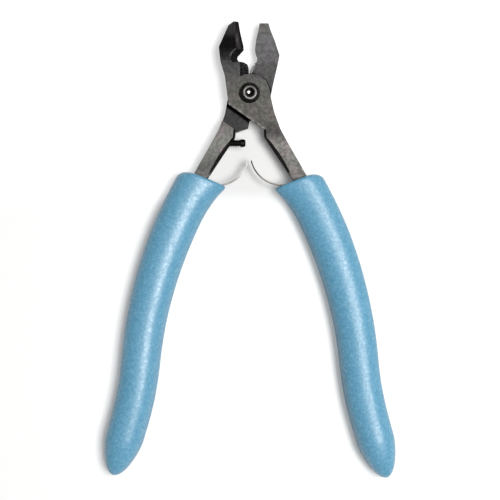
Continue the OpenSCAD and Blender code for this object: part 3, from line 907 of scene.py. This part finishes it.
def leaf_steel():
    """Rolled spring strip, straw-grey at the bend, in a lit and a shaded copy.

    The left leaf is painted lighter, near white up its arm as painted highlight; the right leaf
    is painted darker and more metallic, near black up its arm as painted shade.
    """
    made, nodes, shader, place = material("leaf spring steel", Roughness=0.38)
    parts = nodes.parts(place)
    right = nodes.zone(parts["X"], -0.2, 0.3)
    near_tip = nodes.zone(parts["Y"], -33.5, -30.5)
    lines = nodes.noise(nodes.stretch(place, (0.15, 0.15, 1.0)), 2500.0, 2.0, 0.5)
    # Lit and shaded copies: painted highlight on the left leaf, painted shade on the right, strongest
    # up the arms
    left_tone = nodes.mix(near_tip, (0.38, 0.34, 0.29, 1), (0.85, 0.84, 0.82, 1))
    right_tone = nodes.mix(near_tip, (0.26, 0.23, 0.2, 1), (0.02, 0.016, 0.014, 1))
    color = nodes.mix(right, left_tone, right_tone)
    color = scaled(nodes, color, nodes.span(lines, 0.35, 0.65, 0.92, 1.08))
    feed(nodes, shader, Base_Color=color, Metallic=nodes.span(right, 0, 1, 0.0, 0.6),
         Normal=bump(nodes, lines, 0.1, 0.02))
    return made


def blue_vinyl():
    """Satin blue vinyl with a pearly, finely pebbled skin, painted pale at mid height all round,
    along the mould line, as a painted highlight.

    The right grip is duller than the left one, down to 20 mm before its end.
    """
    made, nodes, shader, place = material("blue vinyl", IOR=1.5, Coat_Roughness=0.29, Coat_IOR=1.5)
    tone = nodes.mottle(place, (0.089, 0.276, 0.42, 1), (0.13, 0.346, 0.5, 1), 700.0, 1900.0)
    grain = nodes.grain(place, 1100.0, 3000.0)
    color = nodes.mix(nodes.math("MULTIPLY", grain["High Spots"], 0.35), tone["Color"],
                      (0.3, 0.55, 0.7, 1))
    parts = nodes.parts(place)
    # Painted highlight: pale at mid height, where the mould line runs
    off_line = nodes.math("ABSOLUTE", nodes.math("SUBTRACT", parts["Z"], MID_Z))
    rubbed = nodes.zone(off_line, 0.35, 0.6, 0.45, 0.0)
    color = nodes.mix(rubbed, color, (0.4, 0.52, 0.62, 1))
    dulled = nodes.math("MULTIPLY", nodes.zone(parts["X"], -5, 5, 0.0, 0.72),
                        nodes.zone(parts["Y"], -140, -120))
    gloss = nodes.math("SUBTRACT", 1.0, dulled)
    coat = nodes.math("MULTIPLY", nodes.span(grain["Height"], 0.36, 0.64, 0.12, 0.58), gloss)
    feed(nodes, shader, Base_Color=color,
         Roughness=nodes.span(grain["Height"], 0.3, 0.7, 0.46, 0.34), Coat_Weight=coat,
         Normal=bump(nodes, grain["Height"], 0.3, 0.22))
    return made


# The tool

skin = [dark_skin(), ground_face(), worn_highlit_edge(), honed_strip(), bare_facet()]
steel_half("front_half", "front_half_steel", "front", True, [front_steel(), *skin])
steel_half("rear_half", "rear_half_steel", "rear", False, [rear_steel(), *skin])

piece("pivot_button_screw", button_screw(), "rear", "pivot_screw", screw_black())
piece("threaded_stop_screw", threaded_stop(), "stop", "stop_screw", stop_black())

leaf = leaf_surface()
strip = leaf_steel()
piece("right_leaf", leaf, "right_leaf", "leaf_spring_right", strip)
piece("left_leaf", mirrored(leaf), "left_leaf", "leaf_spring_left", strip)

right_grip = grip_surface(RIGHT_SLIP)
left_grip = mirrored(grip_surface(0))
vinyl = blue_vinyl()
piece("right_grip", right_grip, "front", "grip_right", vinyl)
piece("left_grip", left_grip, "rear", "grip_left", vinyl)


# Floor, light and camera


def seen_white(nodes):
    """1 for camera, glossy and transmission rays, which see the backdrop's white, and else 0."""
    rays = nodes.add("ShaderNodeLightPath").outputs
    seen = nodes.math("MAXIMUM", rays["Is Camera Ray"], rays["Is Glossy Ray"])
    return nodes.math("MAXIMUM", seen, rays["Is Transmission Ray"])


def pale_floor():
    """A matt floor that keeps shadows; camera and mirror rays see it whitened round the tool.

    The strip within 5 mm of the right shank's inner side stays as it is, so that the shadow there
    keeps its full depth. The rest between the shanks is mixed with a greyer white. Outside, the
    floor is whitened more round the jaws than round the grips, and most where it is far away.
    """
    made = bpy.data.materials.new("pale floor")
    made.use_nodes = True
    nodes = Nodes(made.node_tree)
    made.node_tree.nodes.remove(made.node_tree.nodes["Principled BSDF"])
    place = nodes.add("ShaderNodeTexCoord").outputs["Object"]
    y = nodes.parts(place)["Y"]
    past_strip = nodes.along(place, (-0.83, -0.55, 0), 9.5, 12.5)
    past_right = nodes.along(place, (1, 0.5, 0), 1.4, 3)
    past_left = nodes.along(place, (-1, 0.5, 0), 1.4, 3)
    past_shanks = nodes.math("MAXIMUM", past_right, past_left)
    past_shanks = nodes.math("MAXIMUM", past_shanks, nodes.zone(y, -50, -36, 1.0, 0.0))
    past_shanks = nodes.math("MAXIMUM", past_shanks, nodes.zone(y, -8, 0))
    inside = nodes.math("MULTIPLY", past_strip, nodes.math("SUBTRACT", 1.0, past_shanks))
    radius = nodes.measure("LENGTH", place)
    near_jaws = nodes.math("MULTIPLY", nodes.zone(y, -50, -32),
                           nodes.zone(radius, 50, 200, 1.0, 0.0))
    # The whitening is painted light: it lifts the tool's shadows on the floor, more round the jaws
    # than round the grips, and towards a greyer level between the shanks
    outside = nodes.math("MULTIPLY", past_shanks, nodes.span(near_jaws, 0.0, 1.0, 0.152, 0.29))
    whitening = nodes.math("ADD", nodes.math("MULTIPLY", inside, 0.4), outside)
    whitening = nodes.math("MAXIMUM", whitening, nodes.zone(radius, 150, 750, 0.152, 0.56))
    tone = nodes.mix(nodes.noise(place, 14.0, 2.0), (0.78, 0.78, 0.77, 1), (0.8, 0.8, 0.79, 1))
    matt = nodes.add("ShaderNodeBsdfDiffuse", {"Color": tone}).outputs[0]
    color = nodes.mix(past_shanks, (0.44, 0.44, 0.435, 1), (1, 1, 1, 1))
    white = nodes.add("ShaderNodeEmission", {"Color": color, "Strength": 1.9}).outputs[0]
    share = nodes.math("MULTIPLY", seen_white(nodes), whitening)
    both = nodes.add("ShaderNodeMixShader", {0: share, 1: matt, 2: white}).outputs[0]
    nodes.link(both, made.node_tree.nodes["Material Output"].inputs["Surface"])
    return made


def floor():
    """A square under the grips that reaches 12 m from the tool, towards the horizon."""
    half = 12.0
    mesh = bpy.data.meshes.new("floor")
    around = [(-half, -half), (half, -half), (half, half), (-half, half)]
    mesh.from_pydata([(x, y, FLOOR_Z) for x, y in around], [], [(0, 1, 2, 3)])
    mesh.materials.append(pale_floor())
    add_object("floor", mesh)


def soft_lamp(name, place, aim, length, width, power):
    """A lamp at a place, turned to its aim, whose length lies level across the line to it."""
    data = bpy.data.lights.new(name, "AREA")
    data.shape = "RECTANGLE"
    data.size = length
    data.size_y = width
    data.energy = power
    lamp = add_object(name, data)
    lamp.location = place
    lamp.rotation_mode = "QUATERNION"
    lamp.rotation_quaternion = (Vector(aim) - Vector(place)).to_track_quat("-Z", "Y")


def studio():
    """Weak light from all round, a white backdrop low above the horizon, and the key lamp."""
    world = bpy.data.worlds.new("studio")
    world.use_nodes = True
    ambient = world.node_tree.nodes["Background"]
    ambient.inputs["Color"].default_value = (0.95, 0.98, 1.0, 1)
    ambient.inputs["Strength"].default_value = 0.09
    nodes = Nodes(world.node_tree)
    white = {"Color": (1, 1, 1, 1), "Strength": 1.0}
    backdrop = nodes.add("ShaderNodeBackground", white).outputs[0]
    rise = nodes.parts(nodes.add("ShaderNodeTexCoord").outputs["Generated"])["Z"]
    share = nodes.math("MULTIPLY", seen_white(nodes), nodes.span(rise, 0.22, 0.26, 1.0, 0.0))
    inputs = {0: share, 1: ambient.outputs[0], 2: backdrop}
    both = nodes.add("ShaderNodeMixShader", inputs).outputs[0]
    nodes.link(both, world.node_tree.nodes["World Output"].inputs["Surface"])
    bpy.context.scene.world = world
    grips = (0, -0.08, 0)
    soft_lamp("key", (0.34, -0.07, 1.0), aim=grips, length=0.54, width=0.42, power=13.3)


def camera():
    """Straight above the picture's middle; 0.39 mm a pixel at the tool's middle height."""
    pixel = 0.39 * MM
    picture = 500
    pivot_pixel = (249.7, 94)
    distance = 440 * MM
    data = bpy.data.cameras.new("camera")
    data.sensor_width = 36
    data.lens = data.sensor_width * distance / (picture * pixel)
    cam = add_object("camera", data)
    x = (picture / 2 - pivot_pixel[0]) * pixel
    y = (pivot_pixel[1] - picture / 2) * pixel
    cam.location = (x, y, MID_Z + distance)
    bpy.context.scene.camera = cam


floor()
studio()
camera()
bpy.context.scene.view_settings.view_transform = "Standard"
